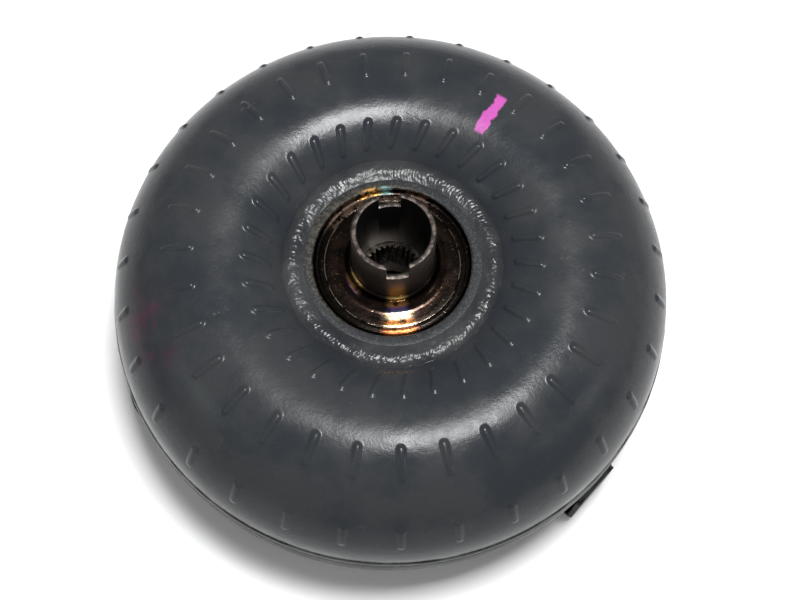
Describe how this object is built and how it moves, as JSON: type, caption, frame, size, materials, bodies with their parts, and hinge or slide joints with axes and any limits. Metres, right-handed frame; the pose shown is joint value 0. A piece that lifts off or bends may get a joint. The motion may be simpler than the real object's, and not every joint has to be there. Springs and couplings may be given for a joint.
{
  "type": "torque converter",
  "caption": "Welded hydraulic torque converter with ribbed impeller shell, notched drive hub, drive lugs and a full working interior.",
  "frame": {"origin": "centre of the crank pilot's end face, which the part stands on", "axes": "+Z along the rotation axis, from the crank pilot towards the transmission hub; +X is the rib index direction at the clock position chosen in the source"},
  "size_m": [0.3386, 0.3406, 0.167],
  "materials": {
    "housing_paint": "semi-gloss dark grey paint over pressed steel and welds",
    "hub_steel": "turned steel with heat tint, oil and light rust",
    "sheet_steel": "oiled pressed steel, brazed",
    "bearing_steel": "ground bearing steel",
    "stator_aluminium": "die-cast aluminium",
    "thrust_washer": "brown phenolic"
  },
  "bodies": {
    "housing": {"front_cover": "housing_paint", "crank_pilot": "housing_paint", "pilot_weld": "housing_paint", "drive_lugs": "housing_paint", "lug_nuts": "housing_paint", "lug_welds": "housing_paint", "balance_weights": "housing_paint", "seam_weld": "housing_paint", "impeller_shell": "housing_paint", "impeller_blades": "sheet_steel", "impeller_core_ring": "sheet_steel", "impeller_hub": "hub_steel", "hub_weld": "housing_paint", "impeller_bearing_hub_race": "bearing_steel", "cover_thrust_washer": "thrust_washer"},
    "stator": {"stator_wheel": "stator_aluminium", "stator_front_cap": "stator_aluminium", "stator_rear_cap": "stator_aluminium", "stator_snap_ring": "bearing_steel", "clutch_cam_ring": "bearing_steel", "clutch_springs": "bearing_steel", "impeller_bearing_stator_race": "bearing_steel", "turbine_bearing_stator_race": "bearing_steel"},
    "turbine": {"turbine_shell": "sheet_steel", "turbine_blades": "sheet_steel", "turbine_core_ring": "sheet_steel", "turbine_hub": "sheet_steel", "turbine_hub_rivets": "sheet_steel", "turbine_bearing_hub_race": "bearing_steel"},
    "clutch_inner_race": {"clutch_inner_race": "bearing_steel"},
    "impeller_bearing": {"impeller_bearing_cage": "bearing_steel", "impeller_bearing_needles": "bearing_steel"},
    "turbine_bearing": {"turbine_bearing_cage": "bearing_steel", "turbine_bearing_needles": "bearing_steel"},
    "clutch_roller_1": {"clutch_roller_1": "bearing_steel"},
    "clutch_roller_2": {"clutch_roller_2": "bearing_steel"},
    "clutch_roller_3": {"clutch_roller_3": "bearing_steel"},
    "clutch_roller_4": {"clutch_roller_4": "bearing_steel"},
    "clutch_roller_5": {"clutch_roller_5": "bearing_steel"},
    "clutch_roller_6": {"clutch_roller_6": "bearing_steel"},
    "clutch_roller_7": {"clutch_roller_7": "bearing_steel"},
    "clutch_roller_8": {"clutch_roller_8": "bearing_steel"}
  },
  "joints": [
    {"name": "stator_spin", "type": "hinge", "parent": "housing", "child": "stator", "pos_m": [0, 0, 0.079], "axis": [0, 0, 1], "continuous": true},
    {"name": "turbine_spin", "type": "hinge", "parent": "stator", "child": "turbine", "pos_m": [0, 0, 0.079], "axis": [0, 0, 1], "continuous": true},
    {"name": "freewheel_spin", "type": "hinge", "parent": "stator", "child": "clutch_inner_race", "pos_m": [0, 0, 0.079], "axis": [0, 0, 1], "continuous": true},
    {"name": "impeller_bearing_spin", "type": "hinge", "parent": "housing", "child": "impeller_bearing", "pos_m": [0, 0, 0.079], "axis": [0, 0, 1], "continuous": true},
    {"name": "turbine_bearing_spin", "type": "hinge", "parent": "stator", "child": "turbine_bearing", "pos_m": [0, 0, 0.079], "axis": [0, 0, 1], "continuous": true},
    {"name": "roller_1_spin", "type": "hinge", "parent": "stator", "child": "clutch_roller_1", "pos_m": [0.03135, 0, 0.079], "axis": [0, 0, 1], "continuous": true},
    {"name": "roller_2_spin", "type": "hinge", "parent": "stator", "child": "clutch_roller_2", "pos_m": [0.02217, 0.02217, 0.079], "axis": [0, 0, 1], "continuous": true},
    {"name": "roller_3_spin", "type": "hinge", "parent": "stator", "child": "clutch_roller_3", "pos_m": [0, 0.03135, 0.079], "axis": [0, 0, 1], "continuous": true},
    {"name": "roller_4_spin", "type": "hinge", "parent": "stator", "child": "clutch_roller_4", "pos_m": [-0.02217, 0.02217, 0.079], "axis": [0, 0, 1], "continuous": true},
    {"name": "roller_5_spin", "type": "hinge", "parent": "stator", "child": "clutch_roller_5", "pos_m": [-0.03135, 0, 0.079], "axis": [0, 0, 1], "continuous": true},
    {"name": "roller_6_spin", "type": "hinge", "parent": "stator", "child": "clutch_roller_6", "pos_m": [-0.02217, -0.02217, 0.079], "axis": [0, 0, 1], "continuous": true},
    {"name": "roller_7_spin", "type": "hinge", "parent": "stator", "child": "clutch_roller_7", "pos_m": [0, -0.03135, 0.079], "axis": [0, 0, 1], "continuous": true},
    {"name": "roller_8_spin", "type": "hinge", "parent": "stator", "child": "clutch_roller_8", "pos_m": [0.02217, -0.02217, 0.079], "axis": [0, 0, 1], "continuous": true}
  ],
  "couplings": [
    {"joint": "impeller_bearing_spin", "follows": "stator_spin", "ratio": 0.5},
    {"joint": "turbine_bearing_spin", "follows": "turbine_spin", "ratio": 0.5},
    {"joint": "roller_1_spin", "follows": "freewheel_spin", "ratio": -6.3529},
    {"joint": "roller_2_spin", "follows": "freewheel_spin", "ratio": -6.3529},
    {"joint": "roller_3_spin", "follows": "freewheel_spin", "ratio": -6.3529},
    {"joint": "roller_4_spin", "follows": "freewheel_spin", "ratio": -6.3529},
    {"joint": "roller_5_spin", "follows": "freewheel_spin", "ratio": -6.3529},
    {"joint": "roller_6_spin", "follows": "freewheel_spin", "ratio": -6.3529},
    {"joint": "roller_7_spin", "follows": "freewheel_spin", "ratio": -6.3529},
    {"joint": "roller_8_spin", "follows": "freewheel_spin", "ratio": -6.3529}
  ]
}
